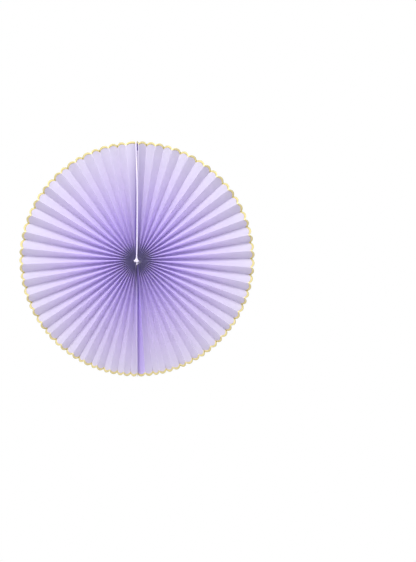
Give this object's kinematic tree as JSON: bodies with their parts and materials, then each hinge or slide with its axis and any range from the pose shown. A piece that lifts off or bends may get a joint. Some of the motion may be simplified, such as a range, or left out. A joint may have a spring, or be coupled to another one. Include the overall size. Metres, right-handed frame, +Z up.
{
  "type": "paper fan rosette",
  "caption": "Round hanging decoration of card folded like an accordion, tied in the middle and opened into a full disc with a scalloped gold rim.",
  "frame": {"origin": "centre of the rosette's rim, at mid depth between its front and back folds", "axes": "-Y out of the front, +Z up along the top seam and the hanging cord, +X to the right seen from the front"},
  "size_m": [0.3997, 0.0278, 0.4],
  "materials": {
    "lilac_card": "matte",
    "gold_foil": "satin",
    "white_string": "matte",
    "clear_glue": "satin"
  },
  "bodies": {
    "root": {"pleated_sheet": "lilac_card", "waist_tie": "white_string", "hanging_cord": "white_string", "top_seam_glue": "clear_glue", "bottom_seam_glue": "clear_glue"}
  },
  "joints": []
}
